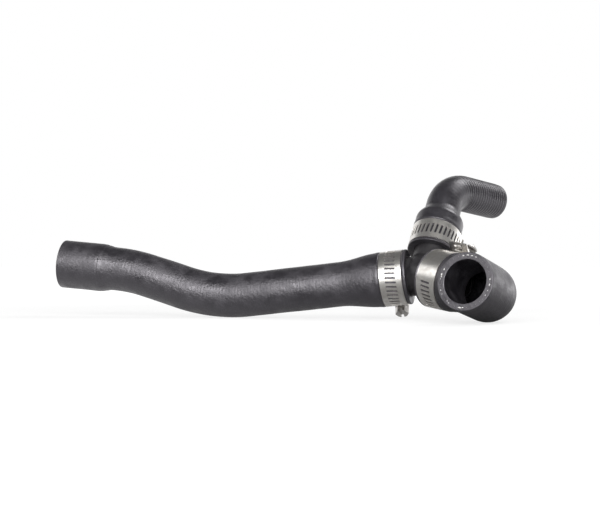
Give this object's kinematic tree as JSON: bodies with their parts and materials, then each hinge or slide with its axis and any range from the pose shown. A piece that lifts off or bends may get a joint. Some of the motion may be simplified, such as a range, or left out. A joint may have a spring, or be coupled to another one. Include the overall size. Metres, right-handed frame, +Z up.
{
  "type": "radiator hose",
  "caption": "Moulded rubber coolant hoses joined by a small plastic three-way connector and held by stainless worm-drive clamps.",
  "frame": {"origin": "middle of the underside, on the surface that the set lies on", "axes": "+X to the right, from the long hose's open end towards the elbow; +Y away from the elbow's open end, to the back; +Z up"},
  "size_m": [0.2706, 0.1474, 0.0838],
  "materials": {
    "hose_rubber": "satin black rubber with a faint rib",
    "connector_plastic": "satin moulded black plastic",
    "clamp_steel": "satin rolled stainless strip",
    "screw_steel": "bright turned steel"
  },
  "bodies": {
    "hose_set": {"long_hose": "hose_rubber", "elbow_hose": "hose_rubber", "top_hose": "hose_rubber", "three_way": "connector_plastic", "long_band": "clamp_steel", "elbow_band": "clamp_steel", "top_band": "clamp_steel", "long_housing": "clamp_steel", "elbow_housing": "clamp_steel", "top_housing": "clamp_steel"},
    "long_clamp_screw": {"long_screw": "screw_steel"},
    "elbow_clamp_screw": {"elbow_screw": "screw_steel"},
    "top_clamp_screw": {"top_screw": "screw_steel"}
  },
  "joints": [
    {"name": "long_screw_turn", "type": "hinge", "parent": "hose_set", "child": "long_clamp_screw", "pos_m": [0.06945, 0.02626, 0.01271], "axis": [0.0362, 0.5352, 0.844], "continuous": true},
    {"name": "elbow_screw_turn", "type": "hinge", "parent": "hose_set", "child": "elbow_clamp_screw", "pos_m": [0.10527, 0.00874, 0.02257], "axis": [0.1019, -0.114, 0.9882], "continuous": true},
    {"name": "top_screw_turn", "type": "hinge", "parent": "hose_set", "child": "top_clamp_screw", "pos_m": [0.10255, 0.02465, 0.03541], "axis": [-0.5303, 0.7823, -0.3269], "continuous": true}
  ]
}
